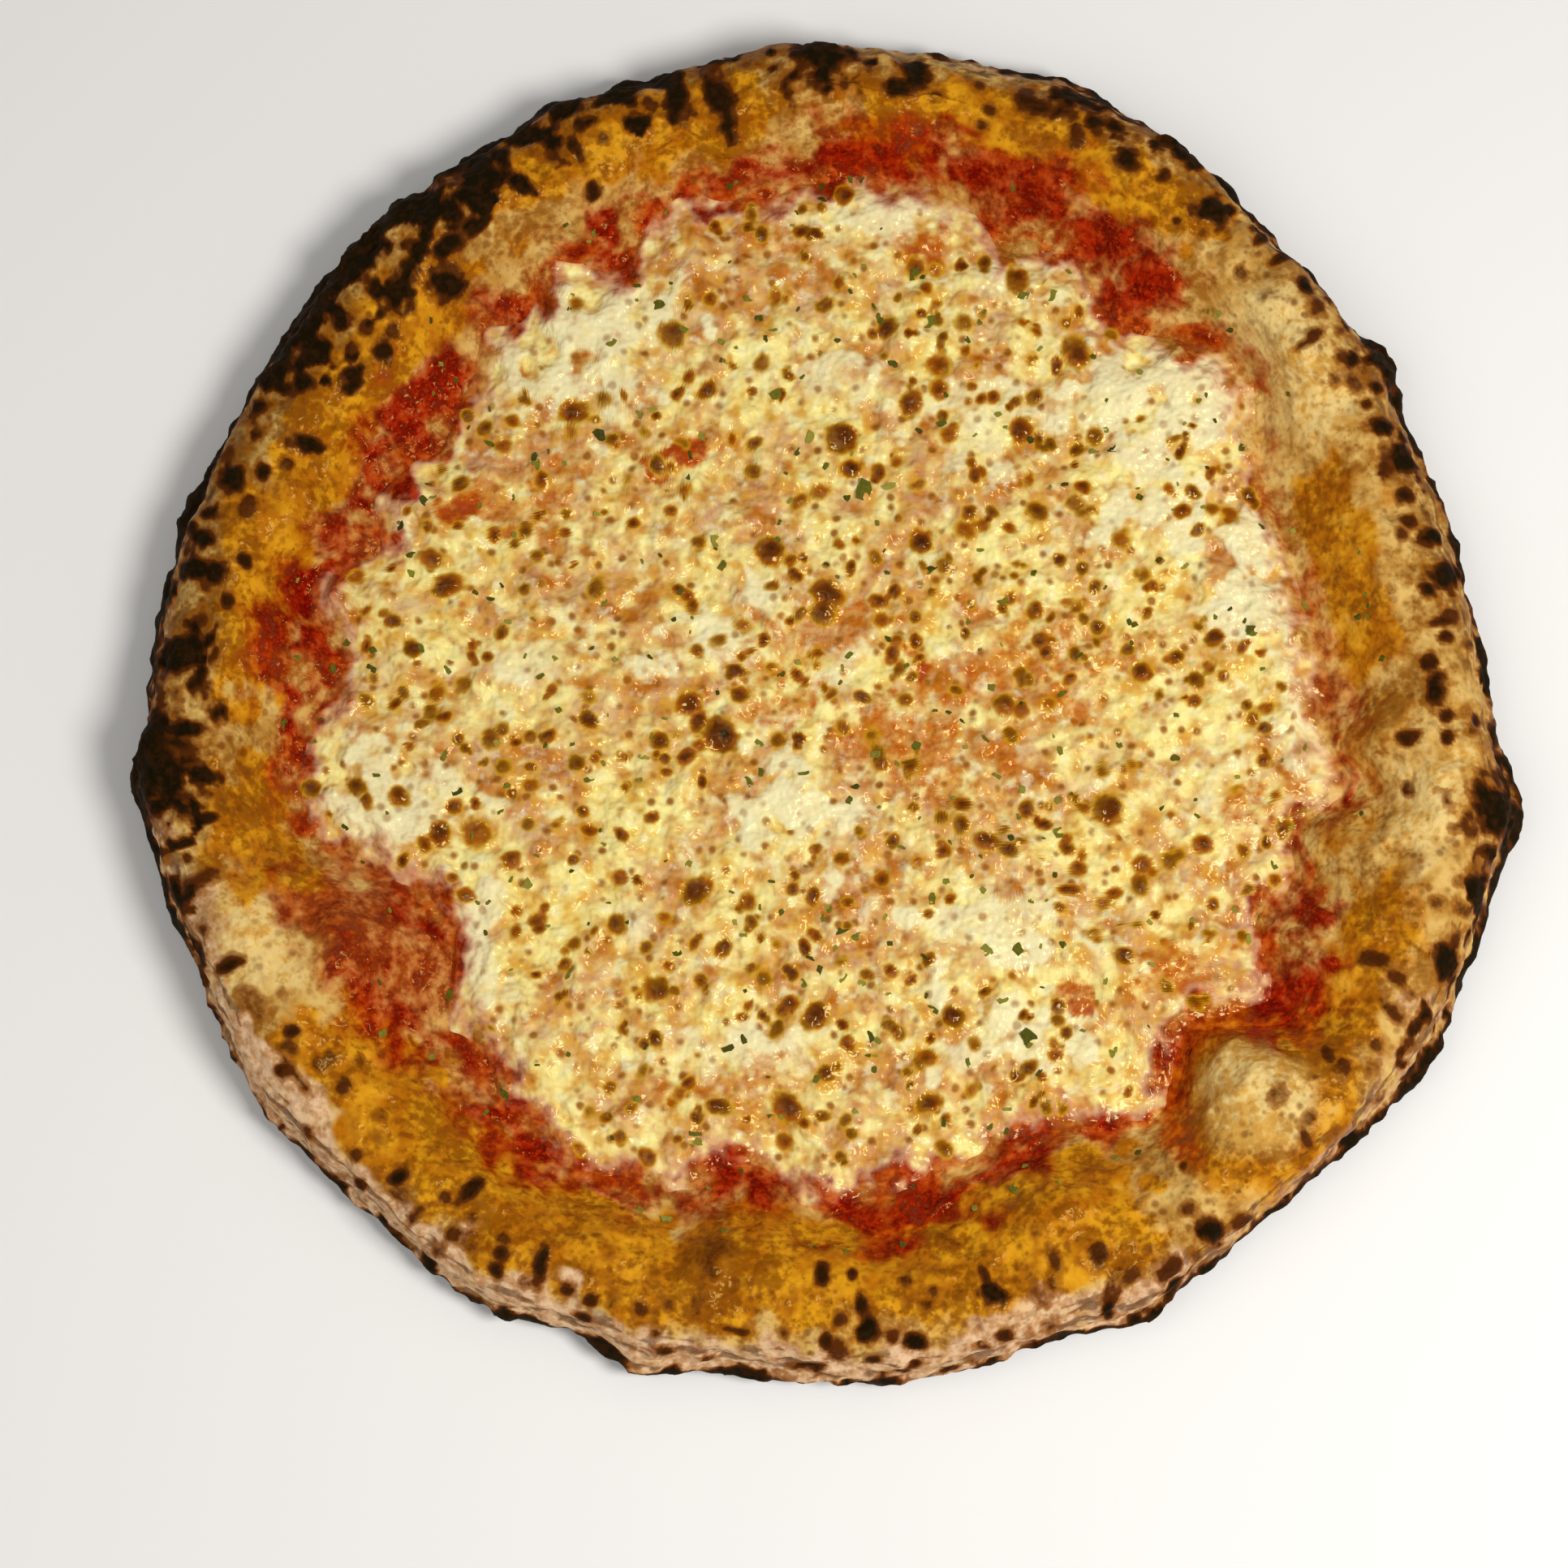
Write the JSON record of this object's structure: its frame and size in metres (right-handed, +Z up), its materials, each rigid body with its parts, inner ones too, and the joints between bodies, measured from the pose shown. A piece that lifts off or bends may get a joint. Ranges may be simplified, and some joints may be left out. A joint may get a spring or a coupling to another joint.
{
  "type": "cheese pizza",
  "caption": "Round cheese pizza with a tall puffed and charred rim, a ring of tomato sauce, and melted cheese with browned blisters.",
  "frame": {"origin": "on the flat underside, below the middle of the outline", "axes": "+Z up out of the cheese; +X and +Y lie in the underside, +Y away from the picture's viewer"},
  "size_m": [0.309, 0.3051, 0.0241],
  "materials": {
    "baked_dough": "baked dough, oiled on its inner slope, floury on its outer wall, charred in spots",
    "tomato_sauce": "moist cooked tomato sauce",
    "melted_cheese": "oily melted cheese with browned blisters",
    "dried_herbs": "dried leaf flakes"
  },
  "bodies": {
    "root": {"crust": "baked_dough", "sauce": "tomato_sauce", "cheese": "melted_cheese"}
  },
  "joints": []
}
